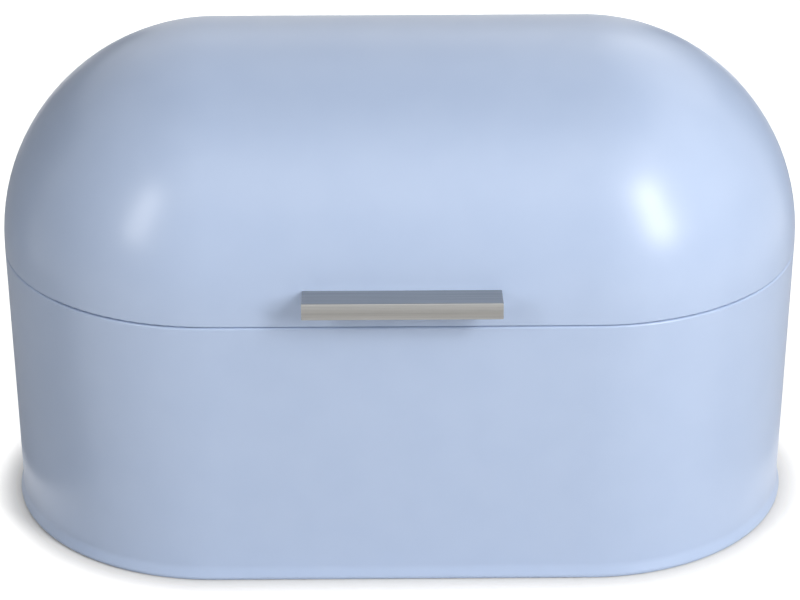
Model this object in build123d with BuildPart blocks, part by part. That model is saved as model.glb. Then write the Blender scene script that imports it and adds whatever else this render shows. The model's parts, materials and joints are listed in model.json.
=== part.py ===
"""Steel bread box: an obround bin under a domed lid that swings back on two hinges.

Millimetres, +Z up, the handle faces -Y. The origin is on the table, in the middle
of the obround foot that the bin stands on.
"""

import os
from math import asin, atan2, cos, degrees, radians, sin, sqrt

from build123d import *

# Bin
box_width = 420.0  # over the two round ends
box_depth = 225.0  # front wall to back wall
parting_height = 146.7  # table to the shoulder under the lid
sheet = 0.6  # steel of wall, base and lid
wall_draft = 1.5  # how far the wall leans in from shoulder to foot

# Mouth of the bin: a rounded shoulder, then a neck that the lid drops over
neck_height = 8.0
mouth_lip = 3.5  # top of the neck, turned inwards
lip_bend = 1.4
shoulder_round = 1.2
neck_bend = 0.4

# Foot of the bin: flared out, then turned in under the base
foot_height = 7.0
foot_flare = 1.8
foot_lip = 6.5
flare_bend = 6.0
foot_bend = 2.0

# Base: a pressed plate on the foot's lip
base_rise = 4.0
base_flange = 7.5
base_slope = 3.0
base_bend = 2.0
base_clearance = 0.2

# Air holes in the back wall
vent_radius = 2.5
vent_pitch = 14.0
vent_count = 5
vent_drop = 26.0  # below the shoulder

# Lid: an upright hemmed skirt under a dome as round as the ends
lid_gap = 0.6  # hem to shoulder
lid_clearance = 0.5  # hem to neck
skirt_height = 3.5

# Handle: an extruded bar with a finger groove underneath
handle_length = 99.0
handle_reach = 19.2
handle_height = 8.4
handle_rise = 11.8  # up the dome from the skirt to the middle of the bar
handle_top = 2.6
handle_front = 2.6
handle_root = 5.6
handle_bulge = 0.7  # of the front face
handle_edge = 0.5
groove_round = 1.2
handle_end_edge = 0.3  # broken edge round each end
handle_film = 0.05  # bar to lid

# Handle screws and washers
screw_end_gap = 17.5  # middle of the screw to the end of the bar
screw_radius = 2.0
screw_depth = 4.2  # in the bar
screw_tip_gap = 0.5  # end of the screw to the end of its hole
screw_clearance = 0.05
screw_head_radius = 3.6
screw_head_height = 2.2
screw_head_edge = 0.7
screw_slot_width = 1.0
screw_slot_depth = 1.1
washer_radius = 4.6
washer_thickness = 0.8
washer_film = 0.03
hole_clearance = 0.15  # round a screw or a rivet in sheet

# Hinges
lid_open_angle = 95.0  # degrees
hinge_end_gap = 17.5  # leaf to the end of the straight back
leaf_width = 40.0
leaf_thickness = 1.0
body_leaf_height = 17.0
lid_leaf_height = 15.0  # up the dome from the skirt
leaf_corner = 3.0
leaf_film = 0.05  # leaf to sheet
pin_radius = 1.25
pin_clearance = 0.06
pin_head_radius = 2.0
pin_head_height = 0.8
pin_head_edge = 0.4
knuckle_gap = 0.3  # knuckle to the wall behind its leaf
knuckle_width = 16.0
knuckle_side_gap = 0.3
knuckle_relief = 0.4  # leaf to the other leaf's knuckle
nose_reach = 4.5  # stop nose, out from the pin's axis
stop_gap = 0.1  # nose to body leaf when the lid is open

# Rivets
rivet_spacing = 24.0
rivet_radius = 1.6
rivet_head_radius = 3.0
rivet_head_height = 1.3
rivet_tail_radius = 2.6
rivet_tail_height = 1.0
rivet_film = 0.03  # head and tail to what they hold
body_rivet_drop = 10.0  # below the pin's axis
lid_rivet_rise = 9.0  # up the dome from the skirt

# Silicone buffers in the lid, over the lip of the neck
buffer_width = 14.0
buffer_height = 6.0
buffer_thickness = 4.5
buffer_edge = 0.8
buffer_gap = 0.3  # buffer to lip
buffer_film = 0.05  # buffer to lid

# Worked out from the sizes above
overrun = sheet  # how far a cutter stands out of what it cuts
plan_radius = box_depth / 2
half_straight = box_width / 2 - plan_radius
lid_bottom = parting_height + lid_gap
dome_height = lid_bottom + skirt_height  # centre of the dome's round
lid_inside = plan_radius - sheet
hem_inside = plan_radius - 2 * sheet
neck_out = hem_inside - lid_clearance
mouth_height = parting_height + neck_height
wall_foot = plan_radius - wall_draft
foot_out = wall_foot + foot_flare
heel = Vector(foot_out - foot_bend, foot_bend)  # centre of the bend into the lip
flare_run = heel - Vector(wall_foot, foot_height)
flare_lean = degrees(atan2(flare_run.X, -flare_run.Y) + asin(foot_bend / flare_run.length))
base_out = foot_out - foot_bend - base_clearance
leaf_inside = plan_radius + leaf_film
leaf_outside = leaf_inside + leaf_thickness
bore_radius = pin_radius + pin_clearance
knuckle_radius = bore_radius + leaf_thickness
hinge_out = leaf_inside + knuckle_gap + knuckle_radius  # pin's axis from the centre line
hinge_height = parting_height + lid_gap / 2
screw_spacing = handle_length - 2 * screw_end_gap
hinge_spacing = 2 * (half_straight - hinge_end_gap) - leaf_width
buffer_spacing = screw_spacing / 2 + washer_radius + half_straight  # midway from washer to straight's end
screw_hole = screw_radius + hole_clearance
rivet_hole = rivet_radius + hole_clearance
back_straight = Plane.YZ
front_straight = Plane((0, 0, 0), x_dir=(0, -1, 0), z_dir=(-1, 0, 0))
sides = {"left": -1, "right": 1}

os.makedirs("parts", exist_ok=True)


def save(piece, name):
    """Label a finished piece and write it under its name."""
    piece.part.label = name
    export_step(piece.part, f"parts/{name}.step")


def carry_round(section):
    """Carry a section, drawn out from the centre line, along both straights and round both ends."""
    for straight in (back_straight, front_straight):
        end = straight.offset(half_straight)
        extrude(section(straight), amount=half_straight, both=True)
        revolve(section(end), axis=Axis(end.origin, (0, 0, -1)), revolution_arc=180)


def dome_plane(rise, facing, x=0):
    """A plane on the dome, some way up its arc from the skirt, at the front (-1) or the back (1)."""
    angle = rise / plan_radius
    out = Vector(0, facing * cos(angle), sin(angle))
    return Plane(Vector(x, 0, dome_height) + out * plan_radius, x_dir=(-facing, 0, 0), z_dir=out)


def back_plane(out, height, x=0):
    """An upright plane that faces the back."""
    return Plane((x, out, height), x_dir=(-1, 0, 0), z_dir=(0, 1, 0))


def hollow_depth(radius, half_width):
    """How far a flat face of that half width stands off the middle of a hollow round."""
    return radius - sqrt(radius**2 - half_width**2)


def pair(plane, spacing, radius):
    """Two circles side by side on a plane."""
    with BuildSketch(plane) as circles:
        with GridLocations(spacing, spacing, 2, 1):
            Circle(radius)
    return circles.sketch


def disc(plane, radius):
    """One circle in the middle of a plane."""
    with BuildSketch(plane) as circle:
        Circle(radius)
    return circle.sketch


# Planes that fasteners stand on
handle_seat = dome_plane(handle_rise, -1)
washer_stand = sheet + hollow_depth(lid_inside, washer_radius) + washer_film
wall_lean = wall_draft / (parting_height - foot_height)
body_tail_stand = sheet + wall_lean * (body_rivet_drop + rivet_tail_radius) + rivet_film
lid_tail_stand = sheet + hollow_depth(lid_inside, rivet_tail_radius) + rivet_film


# Wall of the bin
def wall_section(plane):
    """The sheet from the lip of the mouth, over neck and shoulder, down to the lip of the foot."""
    with BuildSketch(plane) as section:
        with BuildLine():
            heel_round = CenterArc(heel, foot_bend, flare_lean, -90 - flare_lean)
            FilletPolyline(
                (neck_out - mouth_lip, mouth_height),
                (neck_out, mouth_height),
                (neck_out, parting_height),
                (plan_radius, parting_height),
                (wall_foot, foot_height),
                heel_round @ 0,
                radius=[lip_bend, neck_bend, shoulder_round, flare_bend],
            )
            Line(heel_round @ 1, (foot_out - foot_lip, 0))
            offset(amount=sheet, side=Side.RIGHT)
        make_face()
    return section.sketch


wall_cut = wall_draft + sheet + 2 * overrun

with BuildPart() as body_wall:
    carry_round(wall_section)
    with BuildSketch(back_plane(plan_radius + overrun, parting_height - vent_drop)):
        with GridLocations(vent_pitch, vent_pitch, vent_count, 1):
            Circle(vent_radius)
    extrude(amount=-wall_cut, mode=Mode.SUBTRACT)
    for side in sides.values():
        rivet_height = hinge_height - body_rivet_drop
        rivet_row = back_plane(plan_radius + overrun, rivet_height, side * hinge_spacing / 2)
        extrude(pair(rivet_row, rivet_spacing, rivet_hole), amount=-wall_cut, mode=Mode.SUBTRACT)
save(body_wall, "body_wall")


# Base
def base_section(plane):
    """A flange on the foot's lip, a sloping step and a raised panel."""
    with BuildSketch(plane) as section:
        with BuildLine():
            FilletPolyline(
                (base_out, sheet),
                (base_out - base_flange, sheet),
                (base_out - base_flange - base_slope, sheet + base_rise),
                (0, sheet + base_rise),
                radius=base_bend,
            )
            offset(amount=sheet, side=Side.RIGHT)
        make_face()
    return section.sketch


with BuildPart() as base_plate:
    carry_round(base_section)
save(base_plate, "base_plate")


# Lid
def lid_section(plane):
    """Half the dome, its skirt and the hem folded up inside it."""
    with BuildSketch(plane) as section:
        with BuildLine():
            dome_out = CenterArc((0, dome_height), plan_radius, 0, 90)
            dome_in = CenterArc((0, dome_height), lid_inside, 0, 90)
            hem = CenterArc((lid_inside, lid_bottom + sheet), sheet, 180, 180)
            Line(dome_out @ 1, dome_in @ 1)
            Line(dome_out @ 0, hem @ 1)
            Polyline(hem @ 0, (hem_inside, dome_height), dome_in @ 0)
        make_face()
    return section.sketch


lid_cut = sheet + 2 * overrun

with BuildPart() as lid_shell:
    carry_round(lid_section)
    screw_row = handle_seat.offset(overrun)
    extrude(pair(screw_row, screw_spacing, screw_hole), amount=-lid_cut, mode=Mode.SUBTRACT)
    for side in sides.values():
        rivet_row = dome_plane(lid_rivet_rise, 1, side * hinge_spacing / 2).offset(overrun)
        extrude(pair(rivet_row, rivet_spacing, rivet_hole), amount=-lid_cut, mode=Mode.SUBTRACT)
save(lid_shell, "lid_shell")

# Handle, drawn across: first axis out of the lid, second axis up along it
handle_cross = Plane(handle_seat.origin, x_dir=handle_seat.z_dir, z_dir=(-1, 0, 0))
handle_half = handle_height / 2

with BuildPart() as handle_bar:
    with BuildSketch(handle_cross):
        with BuildLine():
            front = ThreePointArc(
                (handle_film + handle_reach, handle_half),
                (handle_film + handle_reach + handle_bulge, 0),
                (handle_film + handle_reach, -handle_half),
            )
            Polyline(front @ 0, (handle_film, handle_half), (handle_film, -handle_half), front @ 1)
        make_face()
    extrude(amount=handle_length / 2, both=True)
    fillet(handle_bar.edges().filter_by(Axis.X).sort_by(Axis.Y)[:2], radius=handle_edge)
    groove_middle = (handle_film + handle_root + handle_film + handle_reach - handle_front) / 2
    groove_width = handle_reach - handle_front - handle_root
    with BuildSketch(handle_cross):
        with Locations((groove_middle, -handle_top)):
            RectangleRounded(groove_width, handle_height, groove_round)
    extrude(amount=handle_length / 2, both=True, mode=Mode.SUBTRACT)
    ends = handle_bar.faces().filter_by(Axis.X).sort_by(Axis.X)
    chamfer(ends[0].edges() + ends[-1].edges(), length=handle_end_edge)
    screw_row = handle_seat.offset(handle_film)
    hole_radius = screw_radius + screw_clearance
    hole_depth = screw_depth + screw_tip_gap
    extrude(pair(screw_row, screw_spacing, hole_radius), amount=hole_depth, mode=Mode.SUBTRACT)
save(handle_bar, "handle_bar")

# Handle screws and washers, one of each per side
for side_name, side in sides.items():
    seat = dome_plane(handle_rise, -1, side * screw_spacing / 2)
    washer_face = seat.offset(-washer_stand)
    head_face = washer_face.offset(-washer_thickness)

    with BuildPart() as handle_washer:
        extrude(disc(washer_face, washer_radius), amount=-washer_thickness)
        extrude(disc(washer_face, screw_hole), amount=-washer_thickness, mode=Mode.SUBTRACT)
    save(handle_washer, f"handle_washer_{side_name}")

    with BuildPart() as handle_screw:
        extrude(disc(head_face, screw_head_radius), amount=-screw_head_height)
        chamfer(handle_screw.faces().sort_by(Axis.Y)[-1].edges(), length=screw_head_edge)
        with BuildSketch(head_face.offset(-screw_head_height)):
            Rectangle(2 * screw_head_radius, screw_slot_width)
        extrude(amount=screw_slot_depth, mode=Mode.SUBTRACT)
        shank = washer_thickness + washer_stand + handle_film + screw_depth
        extrude(disc(head_face, screw_radius), amount=shank)
    save(handle_screw, f"handle_screw_{side_name}")

# Stop nose: how far its underside lies below the pin's axis, so that its tip
# meets the body leaf when the lid is open
leaf_reach = hinge_out - leaf_outside - stop_gap
nose_drop = (leaf_reach + nose_reach * cos(radians(lid_open_angle))) / sin(radians(lid_open_angle))
leaf_sweep = degrees(lid_leaf_height / plan_radius)
relief_height = 2 * (knuckle_radius + knuckle_relief)
outer_knuckle = (leaf_width - knuckle_width) / 2


def add_rivets(seat, grip):
    """Two rivets on a seat plane: domed head outside, flat tail behind what they grip."""
    for place in GridLocations(rivet_spacing, rivet_spacing, 2, 1):
        stand = Plane(seat.location * place)
        with BuildSketch(Plane(stand.origin, x_dir=stand.x_dir, z_dir=-stand.y_dir)) as half:
            with BuildLine():
                dome = TangentArc(
                    (0, rivet_film + rivet_head_height),
                    (rivet_head_radius, rivet_film),
                    tangent=(1, 0),
                )
                Polyline(
                    dome @ 1,
                    (rivet_radius, rivet_film),
                    (rivet_radius, -grip),
                    (rivet_tail_radius, -grip),
                    (rivet_tail_radius, -grip - rivet_tail_height),
                    (0, -grip - rivet_tail_height),
                    dome @ 0,
                )
            make_face()
        revolve(half.sketch, axis=Axis(stand.origin, stand.z_dir))


# Hinges
for side_name, side in sides.items():
    hinge_x = side * hinge_spacing / 2
    across = Plane.YZ.offset(hinge_x)
    barrel = Plane((hinge_x, hinge_out, hinge_height), x_dir=(0, 1, 0), z_dir=(1, 0, 0))

    with BuildPart() as body_leaf:
        with BuildSketch(back_plane(leaf_inside, hinge_height, hinge_x)) as plate:
            with Locations((0, -body_leaf_height / 2)):
                Rectangle(leaf_width, body_leaf_height)
            fillet(plate.vertices().group_by(Axis.Y)[0], radius=leaf_corner)
            Rectangle(knuckle_width + 2 * knuckle_side_gap, relief_height, mode=Mode.SUBTRACT)
            with Locations((0, -body_rivet_drop)):
                with GridLocations(rivet_spacing, rivet_spacing, 2, 1):
                    Circle(rivet_hole, mode=Mode.SUBTRACT)
        extrude(amount=leaf_thickness)
        for way in (-1, 1):
            start = way * (knuckle_width / 2 + knuckle_side_gap)
            length = way * (outer_knuckle - knuckle_side_gap)
            extrude(disc(barrel.offset(start), knuckle_radius), amount=length)
        extrude(disc(barrel, bore_radius), amount=leaf_width, both=True, mode=Mode.SUBTRACT)
    save(body_leaf, f"{side_name}_body_leaf")

    with BuildPart() as lid_leaf:
        with BuildSketch(across):
            with BuildLine():
                inner = CenterArc((0, dome_height), leaf_inside, 0, leaf_sweep)
                outer = CenterArc((0, dome_height), leaf_outside, 0, leaf_sweep)
                Line(inner @ 1, outer @ 1)
                Polyline(inner @ 0, (leaf_inside, hinge_height), (leaf_outside, hinge_height), outer @ 0)
            make_face()
        extrude(amount=leaf_width / 2, both=True)
        top_edges = lid_leaf.faces().sort_by(Axis.Z)[-1].edges()
        fillet(top_edges.filter_by(Axis.X, reverse=True), radius=leaf_corner)
        with BuildSketch(back_plane(leaf_inside - overrun, hinge_height, hinge_x)):
            with GridLocations(leaf_width - outer_knuckle, relief_height, 2, 1):
                Rectangle(outer_knuckle, relief_height)
        extrude(amount=leaf_thickness + 2 * overrun, mode=Mode.SUBTRACT)
        extrude(disc(barrel, knuckle_radius), amount=knuckle_width / 2, both=True)
        with BuildSketch(barrel):
            with Locations((0, -nose_drop)):
                Rectangle(nose_reach, leaf_thickness, align=(Align.MIN, Align.MIN))
        extrude(amount=knuckle_width / 2, both=True)
        extrude(disc(barrel, bore_radius), amount=leaf_width, both=True, mode=Mode.SUBTRACT)
        rivet_row = dome_plane(lid_rivet_rise, 1, hinge_x).offset(leaf_film + leaf_thickness + overrun)
        extrude(
            pair(rivet_row, rivet_spacing, rivet_hole),
            amount=-(leaf_thickness + 2 * overrun),
            mode=Mode.SUBTRACT,
        )
    save(lid_leaf, f"{side_name}_lid_leaf")

    with BuildPart() as hinge_pin:
        half_pin = leaf_width / 2 + knuckle_side_gap
        extrude(disc(barrel, pin_radius), amount=half_pin, both=True)
        for way in (-1, 1):
            extrude(disc(barrel.offset(way * half_pin), pin_head_radius), amount=way * pin_head_height)
        ends = hinge_pin.faces().filter_by(Axis.X).sort_by(Axis.X)
        chamfer(ends[0].edges() + ends[-1].edges(), length=pin_head_edge)
    save(hinge_pin, f"{side_name}_hinge_pin")

    with BuildPart() as body_rivets:
        seat = back_plane(leaf_outside, hinge_height - body_rivet_drop, hinge_x)
        add_rivets(seat, leaf_outside - plan_radius + body_tail_stand)
    save(body_rivets, f"{side_name}_body_rivets")

    with BuildPart() as lid_rivets:
        seat = dome_plane(lid_rivet_rise, 1, hinge_x).offset(leaf_outside - plan_radius)
        add_rivets(seat, leaf_outside - plan_radius + lid_tail_stand)
    save(lid_rivets, f"{side_name}_lid_rivets")

# Buffers, stuck to the inside of the lid's front
for side_name, side in sides.items():
    with BuildPart() as lid_buffer:
        with BuildSketch(Plane.YZ.offset(side * buffer_spacing / 2)):
            with Locations((0, dome_height)):
                Circle(lid_inside - buffer_film)
            with Locations((-lid_inside, mouth_height + buffer_gap)):
                Rectangle(buffer_thickness, buffer_height, align=Align.MIN, mode=Mode.INTERSECT)
        extrude(amount=buffer_width / 2, both=True)
        fillet(lid_buffer.faces().sort_by(Axis.Y)[-1].edges(), radius=buffer_edge)
    save(lid_buffer, f"lid_buffer_{side_name}")
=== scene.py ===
"""A pale blue steel bread box with a domed lid, on a white studio floor."""

import json
from math import cos, radians, sin

import bmesh
import bpy
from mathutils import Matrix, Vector

# Finishes: linear colours, the smoothest and roughest places, the strength of the bump
coat_blue = (0.475, 0.580, 0.784, 1)
coat_blue_deep = (0.461, 0.566, 0.771, 1)
coat_roughness = (0.278, 0.31)
coat_bump = 0.02
handle_grey = (0.39, 0.385, 0.375, 1)
handle_grey_dark = (0.32, 0.32, 0.315, 1)
handle_roughness = (0.28, 0.40)
handle_bump = 0.1
zinc_grey = (0.56, 0.57, 0.58, 1)
zinc_grey_dark = (0.44, 0.45, 0.46, 1)
zinc_roughness = (0.28, 0.46)
zinc_bump = 0.05
silicone_milk = (0.72, 0.74, 0.77, 1)
silicone_shade = (0.66, 0.68, 0.71, 1)
silicone_roughness = (0.42, 0.55)
silicone_bump = 0.05
silicone_scatter = 0.2
silicone_scatter_radius = (0.002, 0.002, 0.002)
floor_white = (0.77, 0.75, 0.72, 1)
card_grey = (0.38, 0.38, 0.38, 1)
matte_roughness = 0.9
white = (1, 1, 1, 1)

# Grain, in grains per metre along each axis
coat_cloud = (45, 45, 45)
coat_peel = (420, 420, 420)
brush_lines = (14, 1500, 1500)
zinc_cloud = (110, 110, 110)
zinc_grain = (400, 400, 400)
silicone_cloud = (90, 90, 90)
silicone_grain = (300, 300, 300)
grain_detail = 1
cloud_span = (0.2, 0.8)  # noise that counts as the lightest and the darkest shade
bump_depth = 0.0003  # metres

# The lid's inner poles, in metres
lid_sheet = 0.0006
pole_reach = 0.0067

# Camera, in metres and degrees
photo_width = 800  # pixels
sensor_width = 36  # millimetres
focal_pixels = 2716
camera_distance = 1.469
camera_height_angle = 26.0
camera_side_angle = 0.51
camera_roll = -0.1
aim_height = 0.1072

# Floor, in metres: it glows, so that it shows white, and glows less in some soft rounds
floor_radius = 4.0
floor_segments = 96
floor_glow = 0.84
glow_dips = (  # middle, inner and outer radius of the soft rim, share of the glow left inside
    ((0.25, -0.3, 0), (0.299, 0.65), 0.6),  # lit most by the softboxes
    # painted shade: the glow is nearly off in this round in front of the box, leaving a grey patch on the
    # floor that the handle mirrors as a dark reflection
    ((0, -0.8, 0), (0.252, 0.6), 0.08),  # mirrored by the handle
)
contact_reach = 0.018  # how near the box holds the glow back
contact_power = 3

# Cards that are mirrored, as low and high corners in metres
dark_cards = {
    "card_overhead": ((-0.7, -0.3, 1.3), (0.7, 0.3, 1.31)),
    "card_left": ((-0.46, 0.05, 0.04), (-0.45, 1.6, 0.4)),
    "card_right": ((0.45, 0.2, 0.04), (0.46, 1.6, 0.4)),
}
# painted reflection: these pale cards are seen only in reflections and dim the bin's ends, casting no
# light or shadow
pale_cards = {  # in the bin's ends, in place of the glowing floor
    "card_low_left": ((-0.6, -0.12, 0.012), (-0.218, 0.6, 0.013)),
    "card_low_right": ((0.225, -0.12, 0.012), (0.6, 0.6, 0.013)),
}

# Light: the way to each softbox from its aim, in degrees and metres, its size and its watts
room_fill = 0.04
softbox_aim = Vector((0, 0, 0.13))
softboxes = {
    "right_softbox": dict(side=40, up=26, far=1.4, size=(0.31, 0.75), power=10.2, lean=8),
    "left_softbox": dict(side=-42, up=26, far=1.4, size=(0.22, 0.65), power=4.0, lean=-8),
    "high_softbox": dict(side=18, up=50, far=2.2, size=(2.6, 1.2), power=10.0),
    "far_right_softbox": dict(side=75, up=35, far=2.2, size=(2.0, 2.0), power=10.2),
    "right_back_softbox": dict(side=140, up=42, far=1.7, size=(1.2, 0.9), power=3.4),
    "back_softbox": dict(side=180, up=36, far=1.7, size=(1.8, 0.5), power=1.9),
    "low_back_softbox": dict(side=180, up=-3, far=1.1, size=(1.8, 0.1), power=6.0, mirrored=False),
}


def add_group(name, inputs, outputs):
    """A new shader node group with these sockets, and its two end nodes."""
    group = bpy.data.node_groups.new(name, "ShaderNodeTree")
    for socket, kind in inputs.items():
        group.interface.new_socket(socket, in_out="INPUT", socket_type=kind)
    for socket, kind in outputs.items():
        group.interface.new_socket(socket, in_out="OUTPUT", socket_type=kind)
    return group, group.nodes.new("NodeGroupInput"), group.nodes.new("NodeGroupOutput")


def grain_group():
    """Grain of a finish: a shade mask and a roughness from a cloud, and a height from a finer grain."""
    sockets = {
        "Cloud": "NodeSocketVector",
        "Grain": "NodeSocketVector",
        "Smoothest": "NodeSocketFloat",
        "Roughest": "NodeSocketFloat",
    }
    results = {"Shade": "NodeSocketFloat", "Roughness": "NodeSocketFloat", "Height": "NodeSocketFloat"}
    group, start, end = add_group("finish grain", sockets, results)
    nodes, links = group.nodes, group.links
    place = nodes.new("ShaderNodeTexCoord")
    noises = {}
    for scale in ("Cloud", "Grain"):
        stretch = nodes.new("ShaderNodeVectorMath")
        stretch.operation = "MULTIPLY"
        noises[scale] = nodes.new("ShaderNodeTexNoise")
        noises[scale].inputs["Scale"].default_value = 1
        noises[scale].inputs["Detail"].default_value = grain_detail
        links.new(place.outputs["Object"], stretch.inputs[0])
        links.new(start.outputs[scale], stretch.inputs[1])
        links.new(stretch.outputs["Vector"], noises[scale].inputs["Vector"])
    spread = nodes.new("ShaderNodeMapRange")
    spread.interpolation_type = "SMOOTHSTEP"
    spread.inputs["From Min"].default_value = cloud_span[0]
    spread.inputs["From Max"].default_value = cloud_span[1]
    rough = nodes.new("ShaderNodeMapRange")
    links.new(noises["Cloud"].outputs["Fac"], spread.inputs["Value"])
    links.new(spread.outputs["Result"], rough.inputs["Value"])
    links.new(start.outputs["Smoothest"], rough.inputs["To Min"])
    links.new(start.outputs["Roughest"], rough.inputs["To Max"])
    links.new(spread.outputs["Result"], end.inputs["Shade"])
    links.new(rough.outputs["Result"], end.inputs["Roughness"])
    links.new(noises["Grain"].outputs["Fac"], end.inputs["Height"])
    return group


def add_material(name):
    """A material with its nodes, links and shader."""
    material = bpy.data.materials.new(name)
    material.use_nodes = True
    nodes, links = material.node_tree.nodes, material.node_tree.links
    return material, nodes, links, nodes["Principled BSDF"]


def grained(name, group, cloud, grain, roughness, colours, bump):
    """A material whose colour and roughness follow a cloud and whose bump follows a grain."""
    material, nodes, links, shader = add_material(name)
    texture = nodes.new("ShaderNodeGroup")
    texture.node_tree = group
    texture.inputs["Cloud"].default_value = cloud
    texture.inputs["Grain"].default_value = grain
    texture.inputs["Smoothest"].default_value = roughness[0]
    texture.inputs["Roughest"].default_value = roughness[1]
    tint = nodes.new("ShaderNodeMix")
    tint.data_type = "RGBA"
    tint.inputs["A"].default_value = colours[0]
    tint.inputs["B"].default_value = colours[1]
    relief = nodes.new("ShaderNodeBump")
    relief.inputs["Strength"].default_value = bump
    relief.inputs["Distance"].default_value = bump_depth
    links.new(texture.outputs["Shade"], tint.inputs["Factor"])
    links.new(tint.outputs["Result"], shader.inputs["Base Color"])
    links.new(texture.outputs["Roughness"], shader.inputs["Roughness"])
    links.new(texture.outputs["Height"], relief.inputs["Height"])
    links.new(relief.outputs["Normal"], shader.inputs["Normal"])
    return material, shader, relief


def inner_pole(lid):
    """Top of the lid's right round end, on the inside of its sheet."""
    low, high = Vector(lid.bound_box[0]), Vector(lid.bound_box[6])
    size = high - low
    return (size.x - size.y) / 2, 0, high.z - lid_sheet


def even_poles(material, relief, pole):
    """Take the mesh's flat normals right at the lid's two poles, where its smooth ones meet badly."""
    nodes, links = material.node_tree.nodes, material.node_tree.links
    place = nodes.new("ShaderNodeTexCoord")
    mirrored = nodes.new("ShaderNodeVectorMath")
    mirrored.operation = "ABSOLUTE"
    away = nodes.new("ShaderNodeVectorMath")
    away.operation = "DISTANCE"
    away.inputs[1].default_value = pole
    at_pole = nodes.new("ShaderNodeMath")
    at_pole.operation = "LESS_THAN"
    at_pole.inputs[1].default_value = pole_reach
    surface = nodes.new("ShaderNodeNewGeometry")
    normal = nodes.new("ShaderNodeMix")
    normal.data_type = "VECTOR"
    links.new(place.outputs["Object"], mirrored.inputs[0])
    links.new(mirrored.outputs["Vector"], away.inputs[0])
    links.new(away.outputs["Value"], at_pole.inputs[0])
    links.new(at_pole.outputs["Value"], normal.inputs["Factor"])
    links.new(surface.outputs["Normal"], normal.inputs["A"])
    links.new(surface.outputs["True Normal"], normal.inputs["B"])
    links.new(normal.outputs["Result"], relief.inputs["Normal"])
    material.cycles.use_bump_map_correction = False


def powder_coat(group, pole):
    """Satin paint with a faint peel."""
    colours = (coat_blue, coat_blue_deep)
    material, _, relief = grained(
        "powder coat", group, coat_cloud, coat_peel, coat_roughness, colours, coat_bump
    )
    even_poles(material, relief, pole)
    return material


def brushed_bar(group):
    """Metal with fine lines along the handle."""
    colours = (handle_grey, handle_grey_dark)
    material, shader, _ = grained(
        "brushed bar", group, brush_lines, brush_lines, handle_roughness, colours, handle_bump
    )
    shader.inputs["Metallic"].default_value = 1
    return material


def zinc_plate(group):
    """Cloudy zinc on the hinges, rivets, screws and washers."""
    colours = (zinc_grey, zinc_grey_dark)
    material, shader, _ = grained(
        "zinc plate", group, zinc_cloud, zinc_grain, zinc_roughness, colours, zinc_bump
    )
    shader.inputs["Metallic"].default_value = 1
    return material


def milky_silicone(group):
    """Soft stops that let a little light in."""
    colours = (silicone_milk, silicone_shade)
    material, shader, _ = grained(
        "milky silicone", group, silicone_cloud, silicone_grain, silicone_roughness, colours, silicone_bump
    )
    shader.inputs["Subsurface Weight"].default_value = silicone_scatter
    shader.inputs["Subsurface Radius"].default_value = silicone_scatter_radius
    return material


def dress(frame):
    """Give every node the finish of its slot."""
    group = grain_group()
    finish = {
        "powder_coat": powder_coat(group, inner_pole(frame["nodes"]["lid_shell"])),
        "handle_metal": brushed_bar(group),
        "hinge_steel": zinc_plate(group),
        "silicone": milky_silicone(group),
    }
    for subpart in frame["record"]["subparts"]:
        node = frame["nodes"][subpart["node"]]
        for slot in node.material_slots:
            slot.material = finish[subpart["material_slot"]]


def combine(nodes, links, operation, first, second):
    """The two sockets put together by a Math node."""
    both = nodes.new("ShaderNodeMath")
    both.operation = operation
    links.new(first, both.inputs[0])
    links.new(second, both.inputs[1])
    return both.outputs["Value"]


def seen_directly(nodes, links):
    """A value of 1 on rays that show the backdrop itself: straight, mirrored or through glass."""
    path = nodes.new("ShaderNodeLightPath")
    either = combine(nodes, links, "MAXIMUM", path.outputs["Is Camera Ray"], path.outputs["Is Glossy Ray"])
    return combine(nodes, links, "MAXIMUM", either, path.outputs["Is Transmission Ray"])


def glow_level(nodes, links):
    """The floor's glow, with its dips."""
    place = nodes.new("ShaderNodeTexCoord")
    full = nodes.new("ShaderNodeValue")
    level = full.outputs["Value"]
    level.default_value = floor_glow
    for middle, (inside, outside), share in glow_dips:
        away = nodes.new("ShaderNodeVectorMath")
        away.operation = "DISTANCE"
        away.inputs[1].default_value = middle
        dip = nodes.new("ShaderNodeMapRange")
        dip.interpolation_type = "SMOOTHSTEP"
        dip.inputs["From Min"].default_value = inside
        dip.inputs["From Max"].default_value = outside
        dip.inputs["To Min"].default_value = share
        links.new(place.outputs["Object"], away.inputs[0])
        links.new(away.outputs["Value"], dip.inputs["Value"])
        level = combine(nodes, links, "MULTIPLY", level, dip.outputs["Result"])
    return level


def contact_share(nodes, links):
    """Share of the glow that is left close to the box, for its contact shadow."""
    open_sky = nodes.new("ShaderNodeAmbientOcclusion")
    open_sky.inputs["Distance"].default_value = contact_reach
    shade = nodes.new("ShaderNodeMath")
    shade.operation = "POWER"
    shade.inputs[1].default_value = contact_power
    links.new(open_sky.outputs["AO"], shade.inputs[0])
    return shade.outputs["Value"]


def studio_white():
    """Matte white that glows where it is seen, and keeps the box's shadow."""
    material, nodes, links, shader = add_material("studio floor")
    shader.inputs["Base Color"].default_value = floor_white
    shader.inputs["Roughness"].default_value = matte_roughness
    shader.inputs["Specular IOR Level"].default_value = 0
    shader.inputs["Emission Color"].default_value = white
    held = combine(nodes, links, "MULTIPLY", glow_level(nodes, links), contact_share(nodes, links))
    glow = combine(nodes, links, "MULTIPLY", held, seen_directly(nodes, links))
    links.new(glow, shader.inputs["Emission Strength"])
    return material


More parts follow.
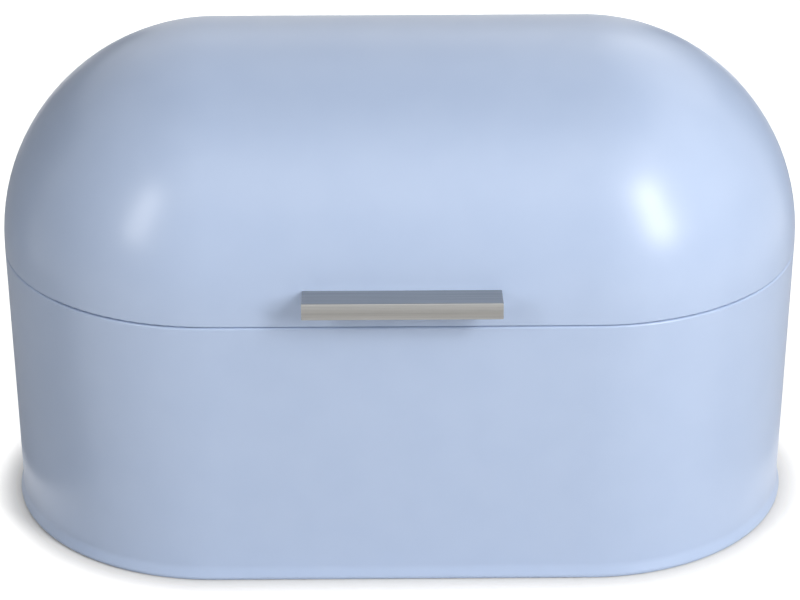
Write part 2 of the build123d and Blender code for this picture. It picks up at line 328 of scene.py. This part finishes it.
def lay_floor():
    """A round white floor."""
    mesh = bpy.data.meshes.new("studio_floor")
    disc = bmesh.new()
    bmesh.ops.create_circle(disc, cap_ends=True, segments=floor_segments, radius=floor_radius)
    disc.to_mesh(mesh)
    disc.free()
    mesh.materials.append(studio_white())
    floor = bpy.data.objects.new("studio_floor", mesh)
    bpy.context.collection.objects.link(floor)


def card_finish(name, colour):
    """Plain matte card."""
    material, _, _, shader = add_material(name)
    shader.inputs["Base Color"].default_value = colour
    shader.inputs["Roughness"].default_value = matte_roughness
    return material


def hang_card(name, low, high, material):
    """A thin card between two corners, out of the camera's sight."""
    mesh = bpy.data.meshes.new(name)
    card = bmesh.new()
    bmesh.ops.create_cube(card, size=1)
    bmesh.ops.scale(card, vec=high - low, verts=card.verts)
    bmesh.ops.translate(card, vec=(high + low) / 2, verts=card.verts)
    card.to_mesh(mesh)
    card.free()
    mesh.materials.append(material)
    hung = bpy.data.objects.new(name, mesh)
    bpy.context.collection.objects.link(hung)
    hung.visible_camera = False
    return hung


def hang_cards():
    """Dark cards for the handle and the lid, and pale ones for the bin's ends, which are only mirrored: a
    painted reflection that dims the bin's ends.
    """
    dark = card_finish("dark card", card_grey)
    for name, (low, high) in dark_cards.items():
        hang_card(name, Vector(low), Vector(high), dark)
    pale = card_finish("pale card", floor_white)
    # painted reflection: the pale cards show only in reflections, with no light or shadow of their own
    for name, (low, high) in pale_cards.items():
        card = hang_card(name, Vector(low), Vector(high), pale)
        card.visible_diffuse = False
        card.visible_shadow = False


def light_room():
    """White room that shows white and fills the shadows softly."""
    world = bpy.data.worlds.new("studio room")
    bpy.context.scene.world = world
    world.use_nodes = True
    nodes, links = world.node_tree.nodes, world.node_tree.links
    room = nodes["Background"]
    room.inputs["Color"].default_value = white
    level = nodes.new("ShaderNodeMapRange")
    level.inputs["To Min"].default_value = room_fill
    level.inputs["To Max"].default_value = 1
    links.new(seen_directly(nodes, links), level.inputs["Value"])
    links.new(level.outputs["Result"], room.inputs["Strength"])


def hang_softbox(name, side, up, far, size, power, lean=0, mirrored=True):
    """A rectangular softbox that faces the bread box, out of the camera's sight."""
    lamp = bpy.data.lights.new(name, "AREA")
    lamp.shape = "RECTANGLE"
    lamp.size, lamp.size_y = size
    lamp.energy = power
    softbox = bpy.data.objects.new(name, lamp)
    bpy.context.collection.objects.link(softbox)
    around, above = radians(side), radians(up)
    way = Vector((sin(around) * cos(above), -cos(around) * cos(above), sin(above)))
    softbox.location = softbox_aim + way * far
    softbox.rotation_euler = (-way).to_track_quat("-Z", "Y").to_euler()
    softbox.rotation_euler.rotate_axis("Z", radians(lean))
    softbox.visible_camera = False
    softbox.visible_glossy = mirrored


def set_camera():
    """The photograph's view: from the front, a little above."""
    data = bpy.data.cameras.new("camera")
    data.sensor_width = sensor_width
    data.lens = sensor_width * focal_pixels / photo_width
    camera = bpy.data.objects.new("camera", data)
    bpy.context.collection.objects.link(camera)
    side, above = radians(camera_side_angle), radians(camera_height_angle)
    way = Vector((-sin(side) * cos(above), -cos(side) * cos(above), sin(above)))
    camera.location = Vector((0, 0, aim_height)) + way * camera_distance
    camera.rotation_euler = (-way).to_track_quat("-Z", "Y").to_euler()
    camera.rotation_euler.rotate_axis("Z", radians(camera_roll))
    bpy.context.scene.camera = camera


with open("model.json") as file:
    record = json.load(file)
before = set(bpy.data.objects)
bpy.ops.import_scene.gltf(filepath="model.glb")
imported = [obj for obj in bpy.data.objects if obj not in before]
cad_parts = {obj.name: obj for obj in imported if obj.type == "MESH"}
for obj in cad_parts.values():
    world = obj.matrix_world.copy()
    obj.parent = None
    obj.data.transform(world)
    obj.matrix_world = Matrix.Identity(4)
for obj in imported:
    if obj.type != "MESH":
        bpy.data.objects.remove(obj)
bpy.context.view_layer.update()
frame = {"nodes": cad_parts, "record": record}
bpy.context.scene.view_settings.view_transform = "Standard"
dress(frame)
lay_floor()
hang_cards()
light_room()
for name, settings in softboxes.items():
    hang_softbox(name, **settings)
set_camera()
